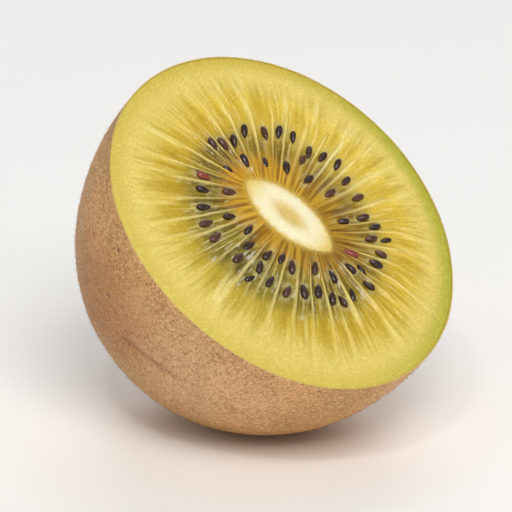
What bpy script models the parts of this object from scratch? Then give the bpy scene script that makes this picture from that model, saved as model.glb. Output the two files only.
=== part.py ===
"""One half of a golden kiwi fruit, cut across its middle.

It lies on its skin, with the cut face up and towards -Y. Each layer that the cut shows is an object of
its own: the skin, the pale outer flesh, the darker flesh that holds the seeds, and the core. The layers
are nested cups. They are modelled with the cut on the XY plane and the stem end below it, and an empty
turns them all to the pose in which the half rests. The origin is the middle of the flat spot below it.
"""

import math
import random
from typing import NamedTuple

import bmesh
import bpy
from mathutils import Matrix, Vector

MM = 0.001


class Layer(NamedTuple):
    """An oval on the cut, and how deep the round body below it reaches towards the stem end.

    The ends of the oval's long way are pinched to points as pointed grows from 0. Its centre may lie off
    the fruit's, and its long way may be turned.
    """

    half_width: float
    half_height: float
    depth: float
    pointed: float = 0.0
    centre: Vector = Vector((0, 0, 0))
    turn: float = 0.0


# The fruit. Its heart, which is the core and the seeds round it, lies a little off the middle.
FRUIT = Layer(26.5 * MM, 24.4 * MM, 35.6 * MM)
SKIN_THICKNESS = 0.6 * MM
LAYER_GAP = 0.3 * MM
HEART_CENTRE = Vector((-0.1 * MM, 1.3 * MM, 0))
HEART_TURN = math.radians(10)
SEED_ZONE = Layer(16.8 * MM, 15.2 * MM, 27.0 * MM, 0.0, HEART_CENTRE, HEART_TURN)
CORE = Layer(7.3 * MM, 3.6 * MM, 25.0 * MM, 0.35, HEART_CENTRE, HEART_TURN)
PITH_DENT = Layer(1.9 * MM, 0.9 * MM, 0.4 * MM, 0.2, HEART_CENTRE, HEART_TURN)

# How full the sides are, where 2 would be an ellipsoid, and how far the outline strays from an oval.
SIDE_FULLNESS = 2.2
TWO_SIDED_SWELL = 0.004
THREE_SIDED_SWELL = 0.006
THREE_SIDED_START = 0.8

# The pose: how far the cut leans forward from level, and how far its wide way is turned down the slope.
LEAN = math.radians(43.3)
ROLL = math.radians(71.3)
FLAT_SPOT_DEPTH = 0.4 * MM

# The stem end is a low rise, with a ring on it round the scar where the stalk was.
STEM_RISE = 0.6 * MM
STEM_RISE_RADIUS = 4.2 * MM
SCAR_RING_HEIGHT = 0.5 * MM
SCAR_RING_RADIUS = 1.9 * MM
SCAR_RING_HALF_THICKNESS = 0.8 * MM
SCAR_PIT_DEPTH = 0.4 * MM
SCAR_PIT_RADIUS = 1.1 * MM

# Thin raised rays run from the core to the outer flesh, with the seed chambers sunk between them. Waves
# round the fruit set them unevenly: how many go round, how far each moves a ray, and where it starts.
RAY_COUNT = 36
RAY_HEIGHT = 0.15 * MM
CHAMBER_SINK = 0.25 * MM
RAY_DRIFTS = ((5, 0.03, 0.4), (9, 0.02, 2.1), (14, 0.013, 4.0))

# Seeds lie in two loose rows along the chambers. A place in a chamber is its share of the way outwards.
SEED_LENGTH = 2.2 * MM
SEED_WIDTH = 1.2 * MM
SEED_THICKNESS = 1.1 * MM
SEED_RISE = 0.05 * MM
SEED_TIP_WIDTH = 0.55
OUTER_ROW = 0.69
INNER_ROW = 0.35
ROW_SPREAD = 0.09
OUTER_ROW_FILL = 0.85
INNER_ROW_FILL = 0.9
SEED_TURN = math.radians(16)
SEED_DRAW = 11

FRUIT_SEGMENTS = 72
CORE_SEGMENTS = 32
SIDE_RINGS = 8
DENT_RINGS = 2
RAY_STEPS = 4
STEM_END_RADII = (6.5 * MM, 4.6 * MM, 3.2 * MM, 2.5 * MM, 1.9 * MM, 1.1 * MM)
SEED_SEGMENTS = 6
SEED_RINGS = 5


def inset(layer, distance):
    """The layer made smaller by the same distance all round."""
    return layer._replace(
        half_width=layer.half_width - distance,
        half_height=layer.half_height - distance,
        depth=layer.depth - distance,
    )


def on_layer(unit, layer):
    """The point of a layer that a point of the unit half sphere below the cut stands for."""
    even = math.atan2(unit.y, unit.x)
    around = even + sum(size * math.sin(waves * even + start) for waves, size, start in RAY_DRIFTS)
    swell = 1 + TWO_SIDED_SWELL * math.cos(2 * around + 2 * unit.z)
    swell += THREE_SIDED_SWELL * math.cos(3 * around + THREE_SIDED_START)
    side = math.hypot(unit.x, unit.y) * swell
    pinch = abs(math.sin(around)) ** layer.pointed
    x = side * math.cos(around) * layer.half_width
    y = side * math.sin(around) * layer.half_height * pinch
    point = Vector((x, y, -layer.depth * max(0.0, -unit.z) ** (2 / SIDE_FULLNESS)))
    return Matrix.Rotation(layer.turn, 3, "Z") @ point + layer.centre


def resting_pose():
    """The matrix that turns the half to its resting pose, with the middle of its flat spot at the origin."""
    turn = Matrix.Rotation(LEAN, 4, "X") @ Matrix.Rotation(-ROLL, 4, "Z")

    def placed(fall, around):
        side = math.cos(fall)
        unit = Vector((side * math.cos(around), side * math.sin(around), -math.sin(fall)))
        return turn @ on_layer(unit, FRUIT)

    down = turn.transposed() @ Vector((0, 0, -1))
    fall = -math.asin(down.z)
    around = math.atan2(down.y, down.x)
    step = math.radians(8)
    while step > 0.00001:
        nearby = [(fall + i * step, around + j * step) for i in (-1, 0, 1) for j in (-1, 0, 1)]
        lowest = min(nearby, key=lambda angles: placed(*angles).z)
        step = step if lowest != (fall, around) else step / 2
        fall, around = lowest
    return Matrix.Translation(-placed(fall, around) - Vector((0, 0, FLAT_SPOT_DEPTH))) @ turn


POSE = resting_pose()
UP = POSE.to_3x3().transposed() @ Vector((0, 0, 1))


def stem_end_height(radius):
    """How far the stem end stands out, at a distance from the fruit's axis."""
    rise = STEM_RISE * math.exp(-((radius / STEM_RISE_RADIUS) ** 2))
    ring = SCAR_RING_HEIGHT * math.exp(-(((radius - SCAR_RING_RADIUS) / SCAR_RING_HALF_THICKNESS) ** 2))
    pit = SCAR_PIT_DEPTH * math.exp(-((radius / SCAR_PIT_RADIUS) ** 2))
    return rise + ring - pit


def press_flat(bm, verts, height):
    """Makes the part of a surface that lies under a height above the ground flat at that height."""
    plane = POSE.inverted() @ Vector((0, 0, height))
    nearby = {face for vert in verts for face in vert.link_faces}
    faces = {face for face in nearby if verts.issuperset(face.verts)}
    edges = {edge for face in faces for edge in face.edges}
    bmesh.ops.bisect_plane(bm, geom=list(verts) + list(edges) + list(faces), plane_co=plane, plane_no=UP)
    for vert in bm.verts:
        below = height - (POSE @ vert.co).z
        if below > 0 and (vert in verts):
            vert.co += UP * below


def ring_angles(count):
    """Angles below the cut at which a round body has its rings of points, from the cut to the pole."""
    return [math.pi / 2 * ring / count for ring in range(count + 1)]


def stem_end_angles(half_width):
    """Ring angles that are even down the sides and closer together over the stem end."""
    last = math.acos(STEM_END_RADII[0] / half_width)
    sides = [last * ring / SIDE_RINGS for ring in range(SIDE_RINGS)]
    return sides + [math.acos(radius / half_width) for radius in STEM_END_RADII] + [math.pi / 2]


def cup(outer, inner, segments, outer_angles, inner_angles, rim_steps=1):
    """A closed cup between two layers with its rim on the cut, and its points as (vert, unit, share).

    It is spun as a cup between round bowls of radius 1 and 2. Each point of that is then moved to where
    it belongs, its share of the way from the inner layer to the outer.
    """
    bm = bmesh.new()
    outside = [(2, angle) for angle in reversed(outer_angles)]
    rim = [(2 - step / rim_steps, 0) for step in range(1, rim_steps)]
    inside = [(1, angle) for angle in inner_angles]
    line = [bm.verts.new((size * math.cos(a), 0, -size * math.sin(a))) for size, a in outside + rim + inside]
    edges = [bm.edges.new(pair) for pair in zip(line, line[1:])]
    bmesh.ops.spin(
        bm,
        geom=line + edges,
        cent=(0, 0, 0),
        axis=(0, 0, 1),
        angle=2 * math.pi,
        steps=segments,
        use_merge=True,
    )
    bmesh.ops.remove_doubles(bm, verts=bm.verts, dist=0.0001)
    bmesh.ops.recalc_face_normals(bm, faces=bm.faces)
    points = []
    for vert in bm.verts:
        unit = vert.co.normalized()
        share = vert.co.length - 1
        points.append((vert, unit, share))
        vert.co = on_layer(unit, inner).lerp(on_layer(unit, outer), share)
    return bm, points


def make_skin():
    """The skin, with the stem end's rise and scar, and flat where the half rests."""
    outer_angles = stem_end_angles(FRUIT.half_width)
    inner = inset(FRUIT, SKIN_THICKNESS)
    bm, points = cup(FRUIT, inner, FRUIT_SEGMENTS, outer_angles, ring_angles(SIDE_RINGS))
    outside = {vert for vert, _, share in points if share > 0.5}
    inside = {vert for vert, _, share in points if share < 0.5}
    for vert in outside:
        vert.co.z -= stem_end_height(math.hypot(vert.co.x, vert.co.y))
    press_flat(bm, outside, 0)
    press_flat(bm, inside, SKIN_THICKNESS)
    return bm


def make_outer_flesh():
    """The pale flesh inside the skin."""
    angles = ring_angles(SIDE_RINGS)
    outer = inset(FRUIT, SKIN_THICKNESS + LAYER_GAP)
    bm, points = cup(outer, inset(SEED_ZONE, -LAYER_GAP), FRUIT_SEGMENTS, angles, angles)
    press_flat(bm, {vert for vert, _, share in points if share > 0.5}, SKIN_THICKNESS + LAYER_GAP)
    return bm


def make_seed_flesh():
    """The darker flesh round the core, with its rays and chambers in relief on the cut."""
    angles = ring_angles(SIDE_RINGS)
    bm, points = cup(SEED_ZONE, inset(CORE, -LAYER_GAP), 2 * RAY_COUNT, angles, angles, RAY_STEPS)
    for vert, unit, share in points:
        if unit.z == 0 and 0.01 < share < 0.99:
            ray = 0.5 + 0.5 * math.cos(math.atan2(unit.y, unit.x) * RAY_COUNT)
            vert.co.z = ray * RAY_HEIGHT - (1 - ray) * CHAMBER_SINK
    return bm


def make_core():
    """The pale core, with a shallow dent at the pith."""
    return cup(CORE, PITH_DENT, CORE_SEGMENTS, ring_angles(SIDE_RINGS), ring_angles(DENT_RINGS))[0]


def seed_places():
    """Where each seed lies on the cut, and which way its tip points back to: (middle, angle)."""
    draw = random.Random(SEED_DRAW)
    places = []
    for chamber in range(RAY_COUNT):
        around = 2 * math.pi * (chamber + 0.5) / RAY_COUNT
        unit = Vector((math.cos(around), math.sin(around), 0))
        start = on_layer(unit, CORE)
        end = on_layer(unit, SEED_ZONE)
        rows = [(OUTER_ROW, OUTER_ROW_FILL)]
        if chamber % 2:
            rows.append((INNER_ROW, INNER_ROW_FILL))
        for row, fill in rows:
            share = row + draw.uniform(-ROW_SPREAD, ROW_SPREAD)
            turn = draw.uniform(-SEED_TURN, SEED_TURN)
            if draw.random() < fill:
                places.append((start.lerp(end, share), math.atan2(end.y - start.y, end.x - start.x) + turn))
    return places


def make_seed(middle, angle):
    """One seed, as a long drop with its narrow end towards the core."""
    bm = bmesh.new()
    bmesh.ops.create_uvsphere(bm, u_segments=SEED_SEGMENTS, v_segments=SEED_RINGS, radius=0.5)
    bmesh.ops.rotate(bm, verts=bm.verts, matrix=Matrix.Rotation(math.pi / 2, 3, "Y"))
    for vert in bm.verts:
        vert.co.yz *= SEED_TIP_WIDTH + (1 - SEED_TIP_WIDTH) * (vert.co.x + 0.5)
    bmesh.ops.scale(bm, verts=bm.verts, vec=(SEED_LENGTH, SEED_WIDTH, SEED_THICKNESS))
    bmesh.ops.rotate(bm, verts=bm.verts, matrix=Matrix.Rotation(angle, 3, "Z"))
    bmesh.ops.translate(bm, verts=bm.verts, vec=middle + Vector((0, 0, SEED_RISE)))
    return bm


def material(name, colour, roughness):
    """A plain finish in a linear colour."""
    made = bpy.data.materials.new(name)
    made.use_nodes = True
    shader = made.node_tree.nodes["Principled BSDF"]
    shader.inputs["Base Color"].default_value = (*colour, 1)
    shader.inputs["Roughness"].default_value = roughness
    shader.inputs["Metallic"].default_value = 0
    made.diffuse_color = (*colour, 1)
    return made


def add_object(name, bm, finish, parent, collection):
    """Makes an object of bm, smooth over its rounds and sharp where the cut ends."""
    mesh = bpy.data.meshes.new(name)
    bm.to_mesh(mesh)
    bm.free()
    mesh.shade_smooth()
    mesh.set_sharp_from_angle(angle=math.radians(40))
    mesh.materials.append(finish)
    obj = bpy.data.objects.new(name, mesh)
    obj.parent = parent
    collection.objects.link(obj)
    return obj


def fuse_seeds(flesh, finish, parent):
    """Joins every seed to the flesh that holds it, as one solid."""
    seeds = bpy.data.collections.new("seeds")
    bpy.context.scene.collection.children.link(seeds)
    for number, place in enumerate(seed_places()):
        add_object(f"seed_{number:02d}", make_seed(*place), finish, parent, seeds)
    union = flesh.modifiers.new("seeds", "BOOLEAN")
    union.operation = "UNION"
    union.operand_type = "COLLECTION"
    union.collection = seeds
    union.material_mode = "TRANSFER"
    graph = bpy.context.evaluated_depsgraph_get()
    joined = bpy.data.meshes.new_from_object(flesh.evaluated_get(graph))
    flesh.modifiers.clear()
    flesh.data = joined
    for seed in list(seeds.objects):
        bpy.data.objects.remove(seed)
    bpy.data.collections.remove(seeds)


def build():
    """Makes the half fruit's four objects under one empty that holds the pose."""
    for old in list(bpy.data.objects):
        bpy.data.objects.remove(old)
    scene = bpy.context.scene.collection
    pose = bpy.data.objects.new("resting_pose", None)
    pose.matrix_world = POSE
    scene.objects.link(pose)

    add_object("skin", make_skin(), material("brown_skin", (0.45, 0.25, 0.10), 0.75), pose, scene)
    outer_finish = material("golden_flesh", (0.70, 0.58, 0.12), 0.35)
    add_object("outer_flesh", make_outer_flesh(), outer_finish, pose, scene)
    seed_zone_finish = material("olive_flesh", (0.30, 0.25, 0.03), 0.3)
    seed_flesh = add_object("seed_flesh", make_seed_flesh(), seed_zone_finish, pose, scene)
    fuse_seeds(seed_flesh, material("dark_seed", (0.02, 0.012, 0.012), 0.25), pose)
    add_object("core", make_core(), material("cream_core", (0.88, 0.80, 0.45), 0.5), pose, scene)


build()
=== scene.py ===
"""The looks of one half of a golden kiwi fruit, cut across its middle and lying on its skin.

The pieces are shaped with the cut on the XY plane and the stem end below it, as in the part's source, and
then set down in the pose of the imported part. A place on the cut is given by a turn round the core, and by
the way outwards: 0 at the core's edge, 1 where the seeds end, and 2 at the skin.
"""

import math
import random
from typing import NamedTuple

import bmesh
import bpy
from mathutils import Matrix, Vector, kdtree, noise


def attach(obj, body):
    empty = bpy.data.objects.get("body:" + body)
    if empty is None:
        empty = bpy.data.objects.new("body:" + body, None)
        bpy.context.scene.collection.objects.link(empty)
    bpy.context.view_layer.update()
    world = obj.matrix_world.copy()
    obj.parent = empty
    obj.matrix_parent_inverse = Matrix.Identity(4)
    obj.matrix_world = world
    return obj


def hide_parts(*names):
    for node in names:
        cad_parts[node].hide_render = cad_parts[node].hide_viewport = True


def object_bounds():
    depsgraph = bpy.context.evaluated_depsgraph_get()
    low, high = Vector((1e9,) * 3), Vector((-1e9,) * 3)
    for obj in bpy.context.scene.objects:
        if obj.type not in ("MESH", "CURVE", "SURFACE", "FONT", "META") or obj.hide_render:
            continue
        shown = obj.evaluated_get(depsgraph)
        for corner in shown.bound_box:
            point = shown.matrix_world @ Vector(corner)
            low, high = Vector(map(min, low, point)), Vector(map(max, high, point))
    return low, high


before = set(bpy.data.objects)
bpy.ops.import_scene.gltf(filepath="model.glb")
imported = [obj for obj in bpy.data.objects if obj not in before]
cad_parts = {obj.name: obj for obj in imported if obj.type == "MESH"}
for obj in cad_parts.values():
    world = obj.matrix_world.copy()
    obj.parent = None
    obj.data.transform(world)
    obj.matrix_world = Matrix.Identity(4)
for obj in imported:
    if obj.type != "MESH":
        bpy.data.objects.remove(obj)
cad_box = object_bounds()

MM = 0.001


class Layer(NamedTuple):
    """An oval on the cut, and how deep the round body below it reaches towards the stem end."""

    half_width: float
    half_height: float
    depth: float
    pointed: float = 0.0
    centre: Vector = Vector((0, 0, 0))
    turn: float = 0.0


# The fruit's own sizes, as in the part's source.
FRUIT = Layer(26.5 * MM, 24.4 * MM, 35.6 * MM)
HEART_CENTRE = Vector((-0.1 * MM, 1.3 * MM, 0))
HEART_TURN = math.radians(10)
SEED_ZONE = Layer(16.8 * MM, 15.2 * MM, 27.0 * MM, 0.0, HEART_CENTRE, HEART_TURN)
CORE = Layer(7.3 * MM, 3.6 * MM, 25.0 * MM, 0.35, HEART_CENTRE, HEART_TURN)
SIDE_FULLNESS = 2.2
TWO_SIDED_SWELL = 0.004
THREE_SIDED_SWELL = 0.006
THREE_SIDED_START = 0.8
LEAN = math.radians(43.3)
ROLL = math.radians(71.3)
FLAT_SPOT_DEPTH = 0.4 * MM
STEM_RISE = 0.6 * MM
STEM_RISE_RADIUS = 4.2 * MM
SCAR_RING_HEIGHT = 0.5 * MM
SCAR_RING_RADIUS = 1.9 * MM
SCAR_RING_HALF_THICKNESS = 0.8 * MM
SCAR_PIT_DEPTH = 0.4 * MM
SCAR_PIT_RADIUS = 1.1 * MM
RAY_COUNT = 36
RAY_DRIFTS = ((5, 0.03, 0.4), (9, 0.02, 2.1), (14, 0.013, 4.0))
SEED_LENGTH = 2.2 * MM
SEED_WIDTH = 1.2 * MM
SEED_THICKNESS = 1.1 * MM
SEED_RISE = 0.05 * MM
OUTER_ROW = 0.69
INNER_ROW = 0.35
ROW_SPREAD = 0.09
OUTER_ROW_FILL = 0.85
INNER_ROW_FILL = 0.9
SEED_TURN = math.radians(16)
SEED_DRAW = 11

# The skin is thin at the cut, and as thick as in the part's source from an angle below it. The flesh and
# the core fit this close to what is round them.
SKIN_EDGE = 0.16 * MM
SKIN_DEPTH = 0.6 * MM
SKIN_THINNING = 0.12
FIT = 0.02 * MM

# The skin's own unevenness, each as the size of its swells and how far they stand out.
SKIN_SWELL_SIZE = 9 * MM
SKIN_SWELL = 0.1 * MM
SKIN_RIPPLE_SIZE = 2.6 * MM
SKIN_RIPPLE = 0.03 * MM

# The relief of the cut: rays stand up, chambers sink between them, and the flesh drops at the skin.
RAY_RIDGE = 0.14 * MM
CHAMBER_SINK = 0.22 * MM
EDGE_DROP = 0.12 * MM
DIMPLE_SIZE = 0.9 * MM
DIMPLE_DEPTH = 0.08 * MM
FLESH_SWELL_SIZE = 3 * MM
FLESH_SWELL = 0.05 * MM

# The core's crown, the hollow at its pith, and its small bumps.
CORE_CROWN = 0.12 * MM
PITH_HOLLOW = 0.16 * MM
CORE_BUMP_SIZE = 1.2 * MM
CORE_BUMP = 0.05 * MM

# How finely the pieces are divided, and how much the points of the flesh gather at the rays.
SKIN_SEGMENTS = 260
SKIN_RINGS = 110
FLESH_STEPS_PER_RAY = 14
FLESH_GATHER = 0.6
CUT_RINGS = 84
WALL_RINGS = 10
CORE_SEGMENTS = 144
CORE_RINGS = 22

# Angles below the cut: up to the first a point lies on the cut, and past the second it is near the stem.
ON_CUT = 0.0001
NEAR_STEM = 1

# The map of the cut, whose name the finishes read.
TURNS_MAP = "turns"

# Where the two red seeds are on the cut.
RED_SEEDS = (Vector((-12.7 * MM, -5 * MM, 0)), Vector((7.2 * MM, 4.9 * MM, 0)))

# The soft collar of flesh that each seed sits in: how high it is and how far it can reach.
JELLY_HEIGHT = 0.12 * MM
JELLY_REACH = 2.4 * MM

# Seeds that lie deeper: how many, how far apart, how deep, and the start of their random draws.
SLIVER_COUNT = 9
SLIVER_SPACING = 1.7 * MM
SLIVER_DEPTHS = (0.3 * MM, 0.42 * MM)
SLIVER_DRAW = 23
SEED_SHAPE_DRAW = 5

# The short hairs of the skin, made in patches, and the longer ones close to the pole of the stem end. The
# reach of the longer ones starts at a share of the way down to that pole.
PATCH_COUNT = 90
PATCH_HAIRS = 220
SHORT_HAIRS = (0.2 * MM, 0.42 * MM)
STEM_END_HAIRS = 260
STEM_END_START = 0.9925
LONG_HAIRS = (0.4 * MM, 0.8 * MM)
HAIR_RADIUS = 0.022 * MM
HAIR_ROOT = 0.04 * MM
HAIR_CLEARANCE = 0.03 * MM
HAIR_DRAW = 31

# Where round the cut the seeds' flesh is greenest, the amber brownest and the rim green, in shares of a turn.
GREENER_TURN = 0.75
BROWNER_TURN = 0
GREEN_RIM_TURN = 0.13

# Short folds that run out from the stalk's scar, and the dry wood left in its pit.
FOLD_COUNT = 17
FOLD_RADIUS = 3.4 * MM
FOLD_HALF_LENGTH = 1.6 * MM
FOLD_HEIGHT = 0.14 * MM
SCAR_WOOD_RADIUS = 1.25 * MM
SCAR_WOOD_HEIGHT = 0.55 * MM

# A crease in the skin, in degrees round the fruit and below the cut.
CREASE_MIDDLE = 273
CREASE_HALF_LENGTH = 13
CREASE_FALL = 20.5
CREASE_SLOPE = 2.4
CREASE_HALF_WIDTH = 1.4
CREASE_DEPTH = 0.24 * MM
CREASE_LIP = 0.1 * MM

# Two small dark spots, each by its angle round the fruit and below the cut.
SPOTS = ((math.radians(245.5), math.radians(4)), (math.radians(251.5), math.radians(16)))
SPOT_RADIUS = 0.4 * MM

# Painted shade makes one side of the fruit browner and darker, and painted light makes the next part paler:
# the middle and the reach of each.
PAINTED_SHADE_MIDDLE = (math.radians(251), math.radians(22))
PAINTED_SHADE_RADIUS = 15 * MM
PAINTED_LIGHT_MIDDLE = (math.radians(288), math.radians(14))
PAINTED_LIGHT_RADIUS = 17 * MM


def srgb(red, green, blue):
    """A colour as it is seen, from 0 to 255, in the linear form that a material takes."""
    parts = [part / 255 for part in (red, green, blue)]
    return (*[part / 12.92 if part <= 0.04045 else ((part + 0.055) / 1.055) ** 2.4 for part in parts], 1)


def inset(layer, distance):
    """The layer made smaller by the same distance all round."""
    return layer._replace(
        half_width=layer.half_width - distance,
        half_height=layer.half_height - distance,
        depth=layer.depth - distance,
    )


def layer_point(around, fall, layer):
    """A point of a layer, at an angle round its own oval and an angle below the cut."""
    rise = -math.sin(fall)
    swell = 1 + TWO_SIDED_SWELL * math.cos(2 * around + 2 * rise)
    swell += THREE_SIDED_SWELL * math.cos(3 * around + THREE_SIDED_START)
    side = math.cos(fall) * swell
    pinch = abs(math.sin(around)) ** layer.pointed
    x = side * math.cos(around) * layer.half_width
    y = side * math.sin(around) * layer.half_height * pinch
    point = Vector((x, y, -layer.depth * max(0.0, -rise) ** (2 / SIDE_FULLNESS)))
    return Matrix.Rotation(layer.turn, 3, "Z") @ point + layer.centre


def ray_angle(turn):
    """The angle round the heart's ovals that a share of a turn stands for, once the rays have drifted."""
    even = math.tau * turn
    return even + sum(size * math.sin(waves * even + start) for waves, size, start in RAY_DRIFTS)


def resting_pose():
    """The matrix that turns the half to its resting pose, with the middle of its flat spot at the origin."""
    turn = Matrix.Rotation(LEAN, 4, "X") @ Matrix.Rotation(-ROLL, 4, "Z")

    def placed(fall, around):
        return turn @ layer_point(around, fall, FRUIT)

    down = turn.transposed() @ Vector((0, 0, -1))
    fall = -math.asin(down.z)
    around = math.atan2(down.y, down.x)
    step = math.radians(8)
    while step > 0.00001:
        nearby = [(fall + i * step, around + j * step) for i in (-1, 0, 1) for j in (-1, 0, 1)]
        lowest = min(nearby, key=lambda angles: placed(*angles).z)
        step = step if lowest != (fall, around) else step / 2
        fall, around = lowest
    return Matrix.Translation(-placed(fall, around) - Vector((0, 0, FLAT_SPOT_DEPTH))) @ turn


POSE = resting_pose()
UP = POSE.to_3x3().transposed() @ Vector((0, 0, 1))


def stem_end_height(radius):
    """How far the stem end stands out, at a distance from the fruit's axis."""
    rise = STEM_RISE * math.exp(-((radius / STEM_RISE_RADIUS) ** 2))
    ring = SCAR_RING_HEIGHT * math.exp(-(((radius - SCAR_RING_RADIUS) / SCAR_RING_HALF_THICKNESS) ** 2))
    pit = SCAR_PIT_DEPTH * math.exp(-((radius / SCAR_PIT_RADIUS) ** 2))
    return rise + ring - pit


def lift_to(point, height):
    """A point, lifted where it lies under a height above the ground."""
    below = height - (POSE @ point).z
    return point + UP * below if below > 0 else point


def ring_angles(count):
    """Angles below the cut at which a round body has its rings of points, from the cut to the pole."""
    return [math.pi / 2 * ring / count for ring in range(count + 1)]


def spun_cup(segments, outer_angles, inner_angles, rim_steps):
    """A closed cup spun between round bowls of radius 2 and 1, with its rim level on the XY plane."""
    bm = bmesh.new()
    outside = [(2, angle) for angle in reversed(outer_angles)]
    rim = [(2 - step / rim_steps, 0) for step in range(1, rim_steps)]
    inside = [(1, angle) for angle in inner_angles]
    line = [bm.verts.new((size * math.cos(a), 0, -size * math.sin(a))) for size, a in outside + rim + inside]
    edges = [bm.edges.new(pair) for pair in zip(line, line[1:])]
    bmesh.ops.spin(
        bm,
        geom=line + edges,
        cent=(0, 0, 0),
        axis=(0, 0, 1),
        angle=math.tau,
        steps=segments,
        use_merge=True,
    )
    bmesh.ops.remove_doubles(bm, verts=bm.verts, dist=0.0001)
    bmesh.ops.recalc_face_normals(bm, faces=bm.faces)
    return bm


def angles_of(unit):
    """The angle round the axis and the angle below the cut of a point on a unit sphere."""
    return math.atan2(unit.y, unit.x), math.asin(max(-1, min(1, -unit.z)))


def map_turns(bm, places):
    """Gives bm a map with the share of a turn round the core across it and half the way outwards up it."""
    layer = bm.loops.layers.uv.new(TURNS_MAP)
    for face in bm.faces:
        turns = [places[vert][0] for vert in face.verts]
        wraps = max(turns) - min(turns) > 0.5
        for loop in face.loops:
            turn, way = places[loop.vert]
            loop[layer].uv = (turn + (1 if wraps and turn < 0.5 else 0), way / 2)


def set_down(bm, name, finish, slot, *nodes):
    """Puts a piece in the half's pose, and makes an object of it that rides on the part."""
    bm.transform(POSE)
    mesh = bpy.data.meshes.new(name)
    bm.to_mesh(mesh)
    bm.free()
    mesh.shade_smooth()
    mesh.set_sharp_from_angle(angle=math.radians(50))
    mesh.materials.append(finish)
    piece = bpy.data.objects.new(name, mesh)
    bpy.context.scene.collection.objects.link(piece)
    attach(piece, "root")
    if nodes:
        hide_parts(*nodes)


class Value:
    """A number or vector inside a finish, so that a sum on it adds the nodes that work it out."""

    def __init__(self, finish, socket):
        self.finish = finish
        self.socket = socket

    def __add__(self, other):
        return self.finish.sum("ADD", self, other)

    def __sub__(self, other):
        return self.finish.sum("SUBTRACT", self, other)

    def __rsub__(self, other):
        return self.finish.sum("SUBTRACT", other, self)

    def __mul__(self, other):
        return self.finish.sum("MULTIPLY", self, other)

    def __truediv__(self, other):
        return self.finish.sum("DIVIDE", self, other)

    __radd__ = __add__
    __rmul__ = __mul__


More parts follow.
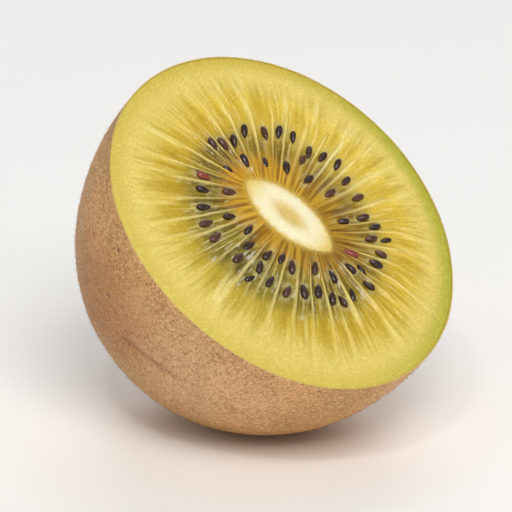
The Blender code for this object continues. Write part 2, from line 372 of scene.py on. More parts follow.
class Finish:
    """A material, with the few kinds of node that the fruit's finishes are made of."""

    def __init__(self, name, **fixed):
        """Starts a material, with what is the same all over it."""
        self.material = bpy.data.materials.new(name)
        self.material.use_nodes = True
        self.tree = self.material.node_tree
        self.shader = self.tree.nodes["Principled BSDF"]
        for socket, value in fixed.items():
            self.shader.inputs[socket.replace("_", " ")].default_value = value

    def feed(self, socket, value):
        """Links a value to a socket, or sets a plain number or colour on it."""
        if isinstance(value, Value):
            self.tree.links.new(value.socket, socket)
        else:
            socket.default_value = value

    def node(self, kind, settings, sockets, output=0):
        """The output of a new node, after its settings and then its sockets are given."""
        made = self.tree.nodes.new(kind)
        for name, setting in settings.items():
            setattr(made, name, setting)
        for socket, value in sockets.items():
            self.feed(made.inputs[socket], value)
        return Value(self, made.outputs[output])

    def sum(self, operation, *values):
        """What a Math node makes of its values."""
        return self.node("ShaderNodeMath", {"operation": operation}, dict(enumerate(values)))

    def distance(self, place, point):
        """How far a place is from a point."""
        return self.node("ShaderNodeVectorMath", {"operation": "DISTANCE"}, {0: place, 1: point}, "Value")

    def towards(self, turn, middle):
        """1 where a turn is a middle one, 0 on the other side of the fruit, and smooth between."""
        return self.sum("COSINE", (turn - middle) * math.tau) * 0.5 + 0.5

    def ends(self, turn):
        """1 at the two ends of the core's long way, 0 half-way between them, and smooth between."""
        return self.sum("ABSOLUTE", self.sum("COSINE", turn * math.tau))

    def band(self, value, start, full, fading, end):
        """0 up to the start, 1 from full to fading, and 0 again from the end."""
        return self.step(value, start, full) * (1 - self.step(value, fading, end))

    def step(self, value, low, high):
        """0 where the value is under low, 1 where it is over high, and smooth between."""
        sockets = {"Value": value, "From Min": low, "From Max": high}
        return self.node("ShaderNodeMapRange", {"interpolation_type": "SMOOTHSTEP"}, sockets)

    def mix(self, first, second, share):
        """One colour changed to another by a share."""
        return self.node("ShaderNodeMix", {"data_type": "RGBA"}, {0: share, 6: first, 7: second}, 2)

    def tint(self, colour, shares):
        """A colour with its red, green and blue each changed by a share."""
        return self.node("ShaderNodeVectorMath", {"operation": "MULTIPLY"}, {0: colour, 1: shares})

    def shade(self, colour, brightness):
        """A colour made darker or lighter."""
        return self.tint(colour, self.vector(brightness, brightness, brightness))

    def place(self):
        """Where a point is in the half's own frame, in metres."""
        return self.node("ShaderNodeTexCoord", {}, {}, "Object")

    def mark(self, name):
        """A number that the piece's mesh carries at each point."""
        return self.node("ShaderNodeAttribute", {"attribute_name": name}, {}, 2)

    def turn_and_way(self):
        """A point's share of a turn round the core and its way outwards, from the piece's map."""
        mapped = self.node("ShaderNodeUVMap", {"uv_map": TURNS_MAP}, {})
        turn = self.node("ShaderNodeSeparateXYZ", {}, {0: mapped}, 0)
        way = self.node("ShaderNodeSeparateXYZ", {}, {0: mapped}, 1)
        return turn, way * 2

    def vector(self, x, y, z=0):
        """A vector of three values."""
        return self.node("ShaderNodeCombineXYZ", {}, {0: x, 1: y, 2: z})

    def noise(self, vector, scale, detail=2, roughness=0.5):
        """Soft clouds, mostly from 0.3 to 0.7, at so many to each unit of the vector."""
        sockets = {"Vector": vector, "Scale": scale, "Detail": detail, "Roughness": roughness}
        return self.node("ShaderNodeTexNoise", {}, sockets)

    def cells(self, vector, scale, output="Distance"):
        """How far a point is from the middle of its cell, or with the output Color the cell's own colour."""
        return self.node("ShaderNodeTexVoronoi", {}, {"Vector": vector, "Scale": scale}, output)

    def dots(self, place, scale, low, high):
        """A dot at the middle of each cell, 1 inside and 0 outside, and the cell's kind, drawn from 0 to 1."""
        dot = 1 - self.step(self.cells(place, scale), low, high)
        return dot, self.node("ShaderNodeSeparateColor", {}, {0: self.cells(place, scale, "Color")})

    def chance(self, value, seed):
        """A number from 0 to 1, drawn afresh for each whole number."""
        vector = self.vector(value, seed)
        return self.node("ShaderNodeTexWhiteNoise", {"noise_dimensions": "3D"}, {"Vector": vector})

    def relief(self, height, depth):
        """Gives the surface a fine relief, height times depth in metres."""
        bump = self.node("ShaderNodeBump", {}, {"Height": height, "Distance": depth}, "Normal")
        self.feed(self.shader.inputs["Normal"], bump)

    def set(self, **looks):
        """Feeds the shader's sockets, which are named with _ for each space, and hands over the material."""
        for socket, value in looks.items():
            self.feed(self.shader.inputs[socket.replace("_", " ")], value)
        return self.material


def ray_spacing(way):
    """The distance between two rays in millimetres, for a number or for a value in a finish."""
    return way * 1.75 + 0.97


def flesh_finish():
    """Moist flesh: amber streaks at the core, olive chambers between pale rays, then fine golden flesh."""
    look = Finish(
        "moist_golden_flesh",
        Subsurface_Weight=0.35,
        Subsurface_Scale=0.7 * MM,
        Subsurface_Radius=(1.0, 0.75, 0.3),
        Specular_IOR_Level=0.22,
        Coat_Roughness=0.1,
    )
    place = look.place()
    turn, way = look.turn_and_way()
    ray = turn * RAY_COUNT
    broad = look.noise(place, 240, 2)
    medium = look.noise(place, 700, 3)
    grain = look.noise(place, 3200, 3, 0.6)
    spacing = ray_spacing(way)

    bent = ray + (broad - 0.5) * 0.4 / spacing
    number = look.sum("FLOOR", bent + 0.5)
    chamber = look.sum("FLOOR", bent)
    off_ray = look.sum("ABSOLUTE", bent - number)
    off_mm = off_ray * spacing
    strength = look.chance(number, 1) * 0.6 + 0.4
    width = look.chance(number, 2) * 0.7 + 0.6
    reach = look.chance(number, 7) * 0.4 + 1.4 + (medium - 0.5) * 0.3
    brush = look.noise(look.vector(ray * 4.8, way * 1.3), 1, 2, 0.55)
    outside = look.step(way, 0.75, 1.15)
    thin = 1 - look.step(off_mm / width, way * 0.05, way * 0.36 + 0.12)
    rays = thin * strength * (1 - look.step(way, reach - 0.7, reach + 0.2)) * look.step(way, 0.0, 0.5)
    rays = rays * (1 - outside * look.step(brush, 0.42, 0.62) * 0.7)

    streaks = look.noise(look.vector(ray * 2.4, way * 1.1), 1, 3, 0.6)
    fibres = look.noise(look.vector(ray * 3.1, way * 2.2), 1, 2)
    membrane_and_sheen = look.step(look.noise(look.vector(ray * 1.3, way * 5.5), 1.6, 3, 0.65), 0.52, 0.7)
    lower = look.towards(turn, GREENER_TURN)
    uneven_way = way + (medium - 0.5) * 0.16 + (broad - 0.5) * 0.12

    fringe = way + (streaks - 0.5) * 0.24 + (fibres - 0.5) * 0.1
    amber = look.mix(srgb(148, 102, 10), srgb(216, 172, 52), look.step(streaks, 0.36, 0.62))
    browner = look.towards(turn, BROWNER_TURN)
    amber = look.shade(amber, 1.12 - browner * 0.16 - browner * browner * 0.3)
    colour = look.mix(srgb(240, 212, 124), amber, look.step(fringe, -0.08, 0.07))
    warm = look.mix(srgb(132, 102, 20), srgb(186, 154, 52), look.step(streaks, 0.34, 0.66))
    green = look.mix(srgb(108, 94, 18), srgb(162, 146, 52), look.step(streaks, 0.34, 0.66))
    olive = look.mix(warm, green, lower)
    # Pale wet patches in the chambers: partly pale membrane, partly painted sheen of its wet surface.
    olive = look.mix(olive, srgb(200, 188, 132), membrane_and_sheen * (0.2 + lower * 0.5))
    colour = look.mix(colour, olive, look.step(uneven_way, 0.24, 0.5))
    tongue_end = look.chance(chamber, 3) * 0.3 + 1.35
    tongues = look.step(off_ray, look.step(uneven_way, 0.9, 1.7) * 0.3, 0.42)
    tongues = tongues * (1 - look.step(uneven_way, tongue_end - 0.35, tongue_end + 0.2))
    gold = look.mix(srgb(228, 202, 86), srgb(212, 186, 70), lower)
    gold = look.mix(gold, srgb(226, 204, 108), look.step(uneven_way, 1.1, 1.5))
    beyond = look.mix(gold, srgb(192, 164, 46), tongues * (0.45 + lower * 0.3))
    colour = look.mix(colour, beyond, look.step(uneven_way - lower * 0.32, 0.48, 0.83))
    colour = look.mix(colour, srgb(200, 178, 60), look.step(way, 1.68, 1.98) * (0.85 - lower * 0.45))
    green_rim = look.towards(turn, GREEN_RIM_TURN)
    green_rim = look.step(green_rim, 0.6, 1.0) * look.step(way, 1.6, 1.97)
    colour = look.mix(colour, srgb(170, 174, 54), green_rim * 0.75)
    fine_off = look.sum("ABSOLUTE", bent - chamber - 0.5) * spacing
    fine_rays = (1 - look.step(fine_off, 0.05, 0.22)) * look.chance(chamber, 5)
    fine_rays = fine_rays * look.band(way, 0.05, 0.3, 0.8, 1.1)
    ray_colour = look.mix(srgb(226, 184, 88), srgb(243, 228, 158), look.step(way, 0.1, 0.7))
    chambers = look.band(way, 0.12, 0.4, 0.95, 1.25)
    # Painted shadow: just beside one side of each ray the chambers are darkened, as in the shadow of the
    # raised ray.
    beside = (bent - number) * spacing
    shade = look.band(beside, 0.08, 0.24, 0.3, 0.62) * chambers * strength
    colour = look.shade(colour, 1 - shade * 0.3)
    # Painted highlights: small pale glints streaked along the rays in the chambers, most on the greener side.
    painted_glints = look.step(look.noise(look.vector(ray * 5.5, way * 4.5), 1, 2), 0.58, 0.68) * chambers
    colour = look.mix(colour, srgb(228, 224, 198), painted_glints * (0.1 + lower * 0.57))
    colour = look.mix(colour, ray_colour, fine_rays * 0.6)
    colour = look.mix(colour, ray_colour, rays)
    feathers = outside * (1 - look.step(way, 1.45, 1.8))
    colour = look.mix(colour, srgb(178, 152, 36), look.step(brush, 0.5, 0.66) * feathers * 0.45)
    colour = look.mix(colour, srgb(244, 232, 160), look.step(0 - brush, -0.46, -0.34) * feathers * 0.5)
    sides = look.ends(turn) * look.band(way, 0, 0.3, 1.1, 1.8)
    colour = look.mix(colour, look.tint(colour, (0.95, 0.88, 0.55)), sides * 0.9)
    # Pale specks in the outer flesh: partly its own grain, partly painted sparkle highlights.
    specks_and_sparkle = look.step(grain, 0.56, 0.72) * look.step(way, 0.9, 1.3)
    colour = look.mix(colour, srgb(250, 240, 180), specks_and_sparkle * 0.2)
    brightness = 0.9 + (grain - 0.5) * 0.45 + (fibres - 0.5) * 0.16 + 0.08 * look.step(way, 1, 1.6)
    brightness = brightness + (1 - lower) * look.band(way, 0.45, 0.75, 1.2, 1.5) * 0.12
    colour = look.shade(colour, brightness)
    # Round each seed the flesh turns paler and greyer: partly the jelly's own colour, partly painted
    # highlights on the wet jelly.
    wet = look.mark("jelly")
    colour = look.mix(colour, srgb(188, 176, 118), wet * look.step(medium, 0.45, 0.6) * 0.55)

    height = grain * 0.5 + medium * 0.4 + rays * 0.5 + streaks * chambers * 0.9
    look.relief(height, 0.18 * MM)
    roughness = 0.42 - 0.2 * chambers + (grain - 0.5) * 0.25
    return look.set(Base_Color=colour, Roughness=roughness, Coat_Weight=0.05 + chambers * 0.15 + wet * 0.6)


def core_finish():
    """The soft cream core, tan at its pith, with fine fibres that start at its edge."""
    look = Finish(
        "cream_core",
        Subsurface_Weight=0.4,
        Subsurface_Scale=0.8 * MM,
        Subsurface_Radius=(1.0, 0.8, 0.5),
        IOR=1.4,
    )
    place = look.place()
    turn, way = look.turn_and_way()
    medium = look.noise(place, 900, 3)
    grain = look.noise(place, 3600, 2)
    fibres = look.noise(look.vector(turn * 60, way * 1.5), 1, 3, 0.6)
    out = way / 2
    uneven = out + (medium - 0.5) * 0.16 + (fibres - 0.5) * 0.14
    colour = look.mix(srgb(228, 200, 118), srgb(253, 243, 204), look.step(uneven, 0.16, 0.58))
    fringe = out + (fibres - 0.5) * 0.4 + (medium - 0.5) * 0.1
    golden_ends = look.step(out, 0.45, 1.0) * look.step(look.ends(turn), 0.7, 1.0)
    colour = look.mix(colour, srgb(240, 214, 124), golden_ends * 0.8)
    colour = look.mix(colour, srgb(236, 202, 106), look.step(fringe, 0.78, 1.04))
    colour = look.shade(colour, 0.92 + (grain - 0.5) * 0.14 + (fibres - 0.5) * 0.12)
    look.relief(medium * 0.6 + grain * 0.4, 0.15 * MM)
    return look.set(Base_Color=colour, Roughness=0.5 - (grain - 0.5) * 0.2)


def skin_place(around, fall):
    """A point of the skin in the half's resting pose, as plain numbers."""
    return tuple(POSE @ layer_point(around, fall, FRUIT))


def round_patch(look, place, middle, radius):
    """1 at the middle of a round patch of the skin, and less outwards, down to 0 at its radius."""
    return 1 - look.step(look.distance(place, skin_place(*middle)), 0.25 * radius, radius)


def skin_finish():
    """Satin golden-brown skin with painted shade and light on two sides, rusty patches, light and dark dots,
    and a few spots.
    """
    look = Finish("golden_brown_skin", Specular_IOR_Level=0.28)
    place = look.place()
    broad = look.noise(place, 60, 2)
    patches = look.noise(place, 150, 3, 0.6)
    mottle = look.noise(place, 900, 3, 0.6)
    grain = look.noise(place, 2300, 2, 0.6)
    fine = look.noise(place, 6000, 2, 0.6)
    speckled = look.step(patches, 0.3, 0.6) * 0.5 + 0.5
    colour = look.mix(srgb(194, 148, 88), srgb(223, 169, 110), look.step(broad, 0.36, 0.62))
    # Painted light: a round patch of the skin next to the shaded side is made paler.
    painted_light = round_patch(look, place, PAINTED_LIGHT_MIDDLE, PAINTED_LIGHT_RADIUS)
    colour = look.mix(colour, srgb(222, 182, 138), painted_light * 0.55)
    colour = look.mix(colour, srgb(190, 124, 76), look.step(patches, 0.48, 0.74) * 0.45)
    colour = look.mix(colour, srgb(172, 124, 78), look.step(mottle, 0.45, 0.75) * 0.3)
    colour = look.mix(colour, srgb(140, 90, 54), look.step(grain, 0.48, 0.7) * speckled * 0.6)
    colour = look.mix(colour, srgb(246, 208, 154), look.step(0 - grain, -0.46, -0.3) * speckled * 0.6)
    small_dots, small_kind = look.dots(place, 2100, 0.12, 0.42)
    colour = look.mix(colour, srgb(246, 210, 160), small_dots * look.step(small_kind, 0.55, 0.7) * 0.75)
    colour = look.mix(colour, srgb(134, 82, 50), small_dots * (1 - look.step(small_kind, 0.25, 0.4)) * 0.7)
    dots, kind = look.dots(place, 1150, 0.1, 0.26)
    colour = look.mix(colour, srgb(236, 196, 146), dots * look.step(kind, 0.6, 0.7) * 0.6)
    colour = look.mix(colour, srgb(108, 64, 36), dots * (1 - look.step(kind, 0.25, 0.35)) * 0.55)
    # Painted shade: a round patch on one side of the skin is made browner and darker, where a shadow falls.
    painted_shade = round_patch(look, place, PAINTED_SHADE_MIDDLE, PAINTED_SHADE_RADIUS)
    colour = look.mix(colour, srgb(154, 88, 26), painted_shade * 0.45)
    spots = 1 - look.step(look.cells(place, 90) + (mottle - 0.5) * 0.05, 0.03, 0.07)
    colour = look.mix(colour, srgb(128, 60, 44), spots * 0.75)
    for around, fall in SPOTS:
        off = look.distance(place, skin_place(around, fall))
        spot = 1 - look.step(off + (mottle - 0.5) * SPOT_RADIUS, 0, SPOT_RADIUS * 1.5)
        colour = look.mix(colour, srgb(112, 46, 34), spot * 0.9)
    # Painted shade: the skin is darkened along the valley of the crease.
    crease = look.mark("crease")
    colour = look.mix(colour, srgb(130, 86, 54), look.step(crease, 0.1, 1.0) * 0.4)
    stem_end = look.mark("stem_end")
    colour = look.mix(colour, srgb(150, 98, 58), look.step(stem_end + (mottle - 0.5) * 0.5, 0.2, 0.6) * 0.65)
    uneven_end = stem_end + (grain - 0.5) * 0.12
    crest = look.band(uneven_end, 0.66, 0.78, 0.82, 0.88)
    colour = look.mix(colour, srgb(216, 172, 122), crest * 0.6)
    colour = look.mix(colour, srgb(60, 40, 28), look.step(uneven_end, 0.84, 0.92) * 0.85)
    colour = look.shade(colour, 0.97 + (fine - 0.5) * 0.25)
    rim = look.mark("rim")
    colour = look.mix(colour, srgb(198, 184, 92), look.step(rim, 0.0, 0.5) * 0.85)
    look.relief(grain * 0.5 + mottle * 0.4 + dots * 0.3, 0.14 * MM)
    return look.set(Base_Color=colour, Roughness=0.52 + (grain - 0.5) * 0.25 + (patches - 0.5) * 0.2)


def fuzz_finish():
    """Fine pale hairs, darker and browner where shade is painted on the skin's side."""
    look = Finish("pale_fuzz", Roughness=0.7, Specular_IOR_Level=0.2)
    place = look.place()
    tone = look.step(look.noise(place, 900, 2), 0.35, 0.65)
    colour = look.mix(srgb(148, 98, 52), srgb(212, 162, 104), tone)
    # Painted shade on the hairs, on the same side as on the skin.
    painted_shade = round_patch(look, place, PAINTED_SHADE_MIDDLE, PAINTED_SHADE_RADIUS)
    return look.set(Base_Color=look.mix(colour, srgb(150, 86, 34), painted_shade * 0.6))


def seed_finish(name, dark, light):
    """Glossy seed coats with a fine net, each a little lighter or darker than the next."""
    look = Finish(name, IOR=1.42, Coat_Weight=0.4, Coat_Roughness=0.06)
    place = look.place()
    shade = look.mark("shade")
    net = look.cells(place, 4200)
    colour = look.mix(dark, light, look.step(shade, 0.55, 1) * 0.8 + look.step(net, 0.35, 0.7) * 0.25)
    look.relief(net, 0.06 * MM)
    return look.set(Base_Color=colour, Roughness=0.28 + net * 0.2)


def scar_finish():
    """The dry, fibrous wood of the stalk's scar, dark and light."""
    look = Finish("stalk_scar")
    place = look.place()
    fibre = look.noise(place, 2400, 3, 0.7)
    colour = look.mix(srgb(66, 46, 32), srgb(186, 150, 108), look.step(fibre, 0.38, 0.66))
    look.relief(fibre, 0.3 * MM)
    return look.set(Base_Color=colour, Roughness=0.85)


def crease_shares(around, fall):
    """How near the valley of the skin's crease and its raised lower lip are, each from 0 to 1."""
    along = (math.degrees(around) % 360 - CREASE_MIDDLE) / CREASE_HALF_LENGTH
    across = (math.degrees(fall) - CREASE_FALL + CREASE_SLOPE * along) / CREASE_HALF_WIDTH
    return math.exp(-(along**4) - across**2), math.exp(-(along**4) - (across / 2 - 1.3) ** 2)


def skin_wander(around, fall, point):
    """How far the skin strays out or in from the plain round form, in metres."""
    broad = noise.noise(point / SKIN_SWELL_SIZE)
    small = noise.noise(point / SKIN_RIPPLE_SIZE + Vector((5, 0, 0)))
    off_fold = (math.hypot(point.x, point.y) - FOLD_RADIUS) / FOLD_HALF_LENGTH
    folds = math.sin(FOLD_COUNT * around + 2.5 * broad + 4 * small) * math.exp(-off_fold * off_fold)
    near_pole = FOLD_HEIGHT * folds if point.z < -FRUIT.depth / 2 else 0
    valley, lip = crease_shares(around, fall)
    uneven = SKIN_SWELL * broad + SKIN_RIPPLE * small
    return uneven + near_pole - CREASE_DEPTH * valley + CREASE_LIP * lip


def smooth(value, low, high):
    """0 where the value is under low, 1 where it is over high, and smooth between."""
    share = min(1.0, max(0.0, (value - low) / (high - low)))
    return share * share * (3 - 2 * share)


def under_skin(around, fall, gap):
    """A point a gap below the inside of the skin, which is thin at the cut and thicker under it."""
    at_cut = layer_point(around, fall, inset(FRUIT, SKIN_EDGE + gap))
    deep = layer_point(around, fall, inset(FRUIT, SKIN_DEPTH + gap))
    return at_cut.lerp(deep, smooth(fall, 0, SKIN_THINNING))


def make_skin():
    """The skin as a thin cup, uneven outside, with the rise and scar at its stem end."""
    outer_angles = ring_angles(SKIN_RINGS)
    bm = spun_cup(SKIN_SEGMENTS, outer_angles, ring_angles(SKIN_RINGS // 4), 2)
    crease = bm.verts.layers.float.new("crease")
    stem_end = bm.verts.layers.float.new("stem_end")
    rim = bm.verts.layers.float.new("rim")
    for vert in bm.verts:
        unit = vert.co.normalized()
        share = vert.co.length - 1
        around, fall = angles_of(unit)
        point = under_skin(around, fall, 0).lerp(layer_point(around, fall, FRUIT), share)
        vert[rim] = 1 - share if fall < ON_CUT else 0
        if share > 0.9:
            vert[crease] = crease_shares(around, fall)[0]
            point += unit * skin_wander(around, fall, point)
            radius = math.hypot(point.x, point.y)
            vert[stem_end] = math.exp(-((radius / STEM_RISE_RADIUS) ** 2)) if fall > NEAR_STEM else 0
            point.z -= stem_end_height(radius)
            point = lift_to(point, 0)
        elif share < 0.1:
            point = lift_to(point, SKIN_DEPTH)
        vert.co = point
    set_down(bm, "fuzzy_skin", skin_finish(), "skin", "skin")


def cut_point(turn, way):
    """A point of the flat cut."""
    around = ray_angle(turn)
    middle = layer_point(around, 0, SEED_ZONE)
    if way <= 1:
        return layer_point(around, 0, CORE).lerp(middle, way)
    edge = layer_point(around + HEART_TURN, 0, inset(FRUIT, SKIN_EDGE + FIT))
    return middle.lerp(edge, way - 1)


def cut_height(turn, way, point):
    """The cut's fine relief: raised rays, sunk chambers, and the flesh's own unevenness."""
    ray = turn * RAY_COUNT
    off_ray = abs(ray - round(ray)) * ray_spacing(way)
    chambers = smooth(way, 0.1, 0.45) * (1 - smooth(way, 0.9, 1.3))
    along = smooth(way, 0.02, 0.15) * (1 - smooth(way, 0.9, 1.5))
    ridge = RAY_RIDGE * (1 - smooth(off_ray, 0.05, 0.3 + 0.15 * way)) * along
    sink = CHAMBER_SINK * chambers * smooth(off_ray, 0.1, 0.6)
    dimples = DIMPLE_DEPTH * noise.noise(point / DIMPLE_SIZE) * chambers
    swell = FLESH_SWELL * noise.noise(point / FLESH_SWELL_SIZE)
    drop = EDGE_DROP * smooth(way, 1.96, 2.0)
    return ridge - sink + dimples + swell - drop


def jelly_round_seeds(bm, wet):
    """Raises a soft collar of flesh round each seed, and marks how wet it is for the finish."""
    seeds = seed_places()
    tree = kdtree.KDTree(len(seeds))
    for number, seed in enumerate(seeds):
        tree.insert(seed.middle, number)
    tree.balance()
    for vert in bm.verts:
        flat = Vector((vert.co.x, vert.co.y, 0))
        _, number, distance = tree.find(flat)
        if distance > JELLY_REACH or vert.co.z < -MM:
            continue
        seed = seeds[number]
        local = Matrix.Rotation(-seed.angle, 3, "Z") @ (flat - seed.middle)
        reach = math.hypot(local.x / SEED_LENGTH, local.y / SEED_WIDTH) * 2
        collar = math.exp(-(((reach - 1.1) / 0.35) ** 2))
        vert.co.z += JELLY_HEIGHT * collar
        vert[wet] = math.exp(-(((reach - 1.2) / 0.5) ** 2))


def make_flesh():
    """All the flesh between the core and the skin, with the cut in fine relief."""
    segments = RAY_COUNT * FLESH_STEPS_PER_RAY
    angles = ring_angles(WALL_RINGS)
    bm = spun_cup(segments, angles, angles, CUT_RINGS)
    wet = bm.verts.layers.float.new("jelly")
    places = {}
    for vert in bm.verts:
        around, fall = angles_of(vert.co.normalized())
        way = 2 * (vert.co.length - 1)
        around -= FLESH_GATHER / RAY_COUNT * math.sin(around * RAY_COUNT)
        turn = (around / (math.tau)) % 1
        places[vert] = (turn, way)
        if fall < ON_CUT:
            point = cut_point(turn, way)
            point.z = cut_height(turn, way, point)
        elif way > 1:
            point = lift_to(under_skin(ray_angle(turn) + HEART_TURN, fall, FIT), SKIN_DEPTH + FIT)
        else:
            point = layer_point(ray_angle(turn), fall, CORE)
        vert.co = point
    jelly_round_seeds(bm, wet)
    map_turns(bm, places)
    set_down(bm, "golden_flesh", flesh_finish(), "outer_flesh", "outer_flesh", "seed_flesh")


def make_core():
    """The core, a little proud of the flesh, with a shallow hollow at its pith."""
    bm = spun_cup(CORE_SEGMENTS, ring_angles(WALL_RINGS), [0, math.pi / 2], CORE_RINGS)
    core = inset(CORE, FIT)
    places = {}
    for vert in bm.verts:
        around, fall = angles_of(vert.co.normalized())
        share = vert.co.length - 1
        turn = around / (math.tau) % 1
        if fall < ON_CUT:
            share = 0.04 + 0.96 * share
            point = HEART_CENTRE.lerp(layer_point(around, 0, core), share)
            crown = CORE_CROWN * (1 - share * share) - PITH_HOLLOW * (1 - smooth(share, 0.12, 0.4))
            point.z = crown + CORE_BUMP * noise.noise(point / CORE_BUMP_SIZE)
        elif vert.co.length > 1.5:
            point = layer_point(around, fall, core)
        else:
            point = HEART_CENTRE.copy()
            share = 0
        places[vert] = (turn, 2 * share)
        vert.co = point
    bmesh.ops.remove_doubles(bm, verts=bm.verts, dist=0.000001)
    places = {vert: place for vert, place in places.items() if vert.is_valid}
    map_turns(bm, places)
    set_down(bm, "cream_core", core_finish(), "core", "core")


def make_scar():
    """The dry wood in the scar's pit, with torn fibres in the middle."""
    bm = bmesh.new()
    bmesh.ops.create_uvsphere(bm, u_segments=40, v_segments=20, radius=1)
    for vert in bm.verts:
        around = math.atan2(vert.co.y, vert.co.x)
        ragged = 1 + 0.12 * noise.noise(Vector((math.cos(around), math.sin(around), 0)) * 3)
        side = math.hypot(vert.co.x, vert.co.y)
        torn = noise.noise(Vector((vert.co.x * 4, vert.co.y * 4, 2))) * (1 - side) * 0.9
        vert.co.z = vert.co.z * SCAR_WOOD_HEIGHT * (1 + torn) - torn * SCAR_WOOD_HEIGHT * 0.4
        vert.co.xy *= SCAR_WOOD_RADIUS * ragged
        vert.co.z -= FRUIT.depth + stem_end_height(0) - 0.05 * MM
    set_down(bm, "stalk_scar", scar_finish(), "skin")


class Seed(NamedTuple):
    """A seed's middle on the cut, the angle its length lies at, and how much prouder than usual it is."""

    middle: Vector
    angle: float
    proud: float = 0.0


def seed_places():
    """The seeds of the part's source, in its order of random draws."""
    draw = random.Random(SEED_DRAW)
    places = []
    for chamber in range(RAY_COUNT):
        start = cut_point((chamber + 0.5) / RAY_COUNT, 0)
        end = cut_point((chamber + 0.5) / RAY_COUNT, 1)
        rows = [(OUTER_ROW, OUTER_ROW_FILL)]
        if chamber % 2:
            rows.append((INNER_ROW, INNER_ROW_FILL))
        for row, fill in rows:
            share = row + draw.uniform(-ROW_SPREAD, ROW_SPREAD)
            turn = draw.uniform(-SEED_TURN, SEED_TURN)
            if draw.random() < fill:
                angle = math.atan2(end.y - start.y, end.x - start.x) + turn
                places.append(Seed(start.lerp(end, share), angle))
    return places


def slivers(seeds):
    """Seeds that lie deeper, of which the cut shows only the top."""
    draw = random.Random(SLIVER_DRAW)
    found = []
    while len(found) < SLIVER_COUNT:
        turn = (draw.randrange(RAY_COUNT) + 0.5 + draw.uniform(-0.2, 0.2)) / RAY_COUNT
        start = cut_point(turn, 0)
        end = cut_point(turn, 1)
        middle = start.lerp(end, draw.uniform(0.25, 0.85))
        angle = math.atan2(end.y - start.y, end.x - start.x) + draw.uniform(-0.5, 0.5)
        if all((middle - seed.middle).length > SLIVER_SPACING for seed in seeds + found):
            found.append(Seed(middle, angle, -draw.uniform(*SLIVER_DEPTHS)))
    return found


def add_seed(bm, seed, draw, shade):
    """Adds one seed to bm: a flattened drop, pointed towards the core."""
    made = bmesh.ops.create_uvsphere(bm, u_segments=18, v_segments=12, radius=0.5)["verts"]
    lightness = draw.random()
    for vert in made:
        vert[shade] = lightness
    bmesh.ops.rotate(bm, verts=made, matrix=Matrix.Rotation(math.pi / 2, 3, "Y"))
    for vert in made:
        along = vert.co.x + 0.5
        taper = 0.5 + 0.62 * along**0.8 - 0.12 * along**3
        vert.co.y *= taper
        vert.co.z *= taper
    size = draw.uniform(0.88, 1.06)
    plumpness = draw.uniform(0.86, 1.05)
    scale = (SEED_LENGTH * size, SEED_WIDTH * size * plumpness, SEED_THICKNESS * 0.92)
    bmesh.ops.scale(bm, verts=made, vec=scale)
    pitch = Matrix.Rotation(draw.uniform(-0.14, 0.14), 3, "Y")
    tilt = pitch @ Matrix.Rotation(draw.uniform(-0.5, 0.5), 3, "X")
    bmesh.ops.rotate(bm, verts=made, matrix=Matrix.Rotation(seed.angle, 3, "Z") @ tilt)
    bmesh.ops.translate(bm, verts=made, vec=seed.middle + Vector((0, 0, SEED_RISE + seed.proud)))


def make_seeds():
    """The dark seeds, with those that show only their tops, and the two that are red."""
    seeds = seed_places()
    buried = slivers(seeds)
    red = [min(seeds, key=lambda seed: (seed.middle - place).length) for place in RED_SEEDS]
    draw = random.Random(SEED_SHAPE_DRAW)
    dark = [seed for seed in seeds if seed not in red] + buried
    groups = (
        ("dark_seeds", dark, srgb(34, 13, 7), srgb(86, 46, 33)),
        ("red_seeds", red, srgb(120, 34, 24), srgb(206, 120, 92)),
    )
    for name, members, darkest, lightest in groups:
        bm = bmesh.new()
        shade = bm.verts.layers.float.new("shade")
        for seed in members:
            add_seed(bm, seed, draw, shade)
        set_down(bm, name, seed_finish(name + "_coat", darkest, lightest), "seed_flesh")


def hair_patch(draw, count, start, lengths):
    """Hairs that lean every way, on random spots of the skin from a share of the way down to its pole."""
    bm = bmesh.new()
    for _ in range(count):
        fall = math.asin(draw.uniform(start, 1))
        around = draw.uniform(0, math.tau)
        side = math.cos(fall)
        unit = Vector((side * math.cos(around), side * math.sin(around), -math.sin(fall)))
        root = layer_point(around, fall, FRUIT)
        root += unit * skin_wander(around, fall, root)
        root.z -= stem_end_height(math.hypot(root.x, root.y))
        out = Vector((unit.x / FRUIT.half_width, unit.y / FRUIT.half_height, unit.z / FRUIT.depth))
        out.normalize()
        lean = Vector([draw.uniform(-1, 1) for _ in range(3)]) * 0.9
        way = (out + lean - out * lean.dot(out) * 0.5).normalized()
        length = draw.uniform(*lengths)
        tip = root + way * length
        if min((POSE @ tip).z, (POSE @ root).z) < HAIR_CLEARANCE or tip.z > 0:
            continue
        turn = way.to_track_quat("Z", "Y").to_matrix().to_4x4()
        matrix = Matrix.Translation(root + way * (length / 2 - HAIR_ROOT)) @ turn
        bmesh.ops.create_cone(
            bm,
            cap_ends=True,
            segments=3,
            radius1=HAIR_RADIUS,
            radius2=0,
            depth=length,
            matrix=matrix,
        )
    return bm


def make_fuzz():
    """Thousands of short pale hairs over the skin, and longer ones round the scar."""
    draw = random.Random(HAIR_DRAW)
    whole = bmesh.new()
    patches = [(PATCH_HAIRS, 0, SHORT_HAIRS)] * PATCH_COUNT + [(STEM_END_HAIRS, STEM_END_START, LONG_HAIRS)]
    for sizes in patches:
        patch = hair_patch(draw, *sizes)
        mesh = bpy.data.meshes.new("patch")
        patch.to_mesh(mesh)
        patch.free()
        whole.from_mesh(mesh)
        bpy.data.meshes.remove(mesh)
    set_down(whole, "skin_fuzz", fuzz_finish(), "skin")


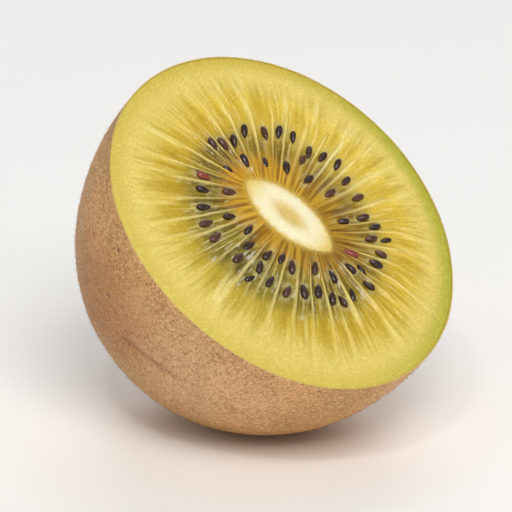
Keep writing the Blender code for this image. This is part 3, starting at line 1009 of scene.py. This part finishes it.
def make_floor():
    """A plain pale floor."""
    bm = bmesh.new()
    bmesh.ops.create_grid(bm, x_segments=1, y_segments=1, size=4)
    mesh = bpy.data.meshes.new("floor")
    bm.to_mesh(mesh)
    bm.free()
    look = Finish("pale_floor", Roughness=0.7)
    mesh.materials.append(look.set(Base_Color=srgb(249, 248, 246)))
    floor = bpy.data.objects.new("floor", mesh)
    bpy.context.scene.collection.objects.link(floor)


ROOM_COLOUR = (0.98, 0.99, 1, 1)
ROOM_BRIGHTNESS = 0.34
LIT_POINT = Vector((0, 0, 25 * MM))


def add_light(name, place, size, power, colour=(1, 1, 1)):
    """A square soft light that points at the half."""
    light = bpy.data.lights.new(name, "AREA")
    light.size = size
    light.energy = power
    light.color = colour
    lamp = bpy.data.objects.new(name, light)
    lamp.location = place
    lamp.rotation_euler = (lamp.location - LIT_POINT).to_track_quat("Z", "Y").to_euler()
    bpy.context.scene.collection.objects.link(lamp)


def light_studio():
    """Soft light from above and in front, a weak fill, a small light for glints, and a pale room."""
    add_light("key", (-0.35, -0.75, 0.85), size=0.5, power=8.4, colour=(1, 0.98, 0.95))
    add_light("fill", (-0.9, 0.1, 0.5), size=0.8, power=0.5, colour=(1, 0.97, 0.93))
    add_light("glint", (-0.55, -0.45, 0.9), size=0.1, power=1.4)
    add_light("back", (0.6, 0.7, 0.7), size=0.8, power=3.5)
    world = bpy.data.worlds.new("pale_room")
    world.use_nodes = True
    background = world.node_tree.nodes["Background"]
    background.inputs["Color"].default_value = ROOM_COLOUR
    background.inputs["Strength"].default_value = ROOM_BRIGHTNESS
    bpy.context.scene.world = world
    bpy.context.scene.view_settings.view_transform = "Standard"


CAMERA_AZIMUTH = math.radians(-38.4)
CAMERA_ELEVATION = math.radians(20)
CAMERA_DISTANCE = 0.85
CAMERA_LENS = 440


def place_camera():
    """A long lens that sees the half as the photograph does."""
    camera = bpy.data.cameras.new("camera")
    camera.lens = CAMERA_LENS
    camera.clip_start = 0.01
    camera.clip_end = 20
    eye = bpy.data.objects.new("camera", camera)
    back = Vector((
        math.sin(CAMERA_AZIMUTH) * math.cos(CAMERA_ELEVATION),
        -math.cos(CAMERA_AZIMUTH) * math.cos(CAMERA_ELEVATION),
        math.sin(CAMERA_ELEVATION),
    ))
    low, high = cad_box
    eye.location = (low + high) / 2 + back * CAMERA_DISTANCE
    eye.rotation_euler = back.to_track_quat("Z", "Y").to_euler()
    bpy.context.scene.collection.objects.link(eye)
    bpy.context.scene.camera = eye


make_skin()
make_fuzz()
make_scar()
make_flesh()
make_core()
make_seeds()
make_floor()
light_studio()
place_camera()
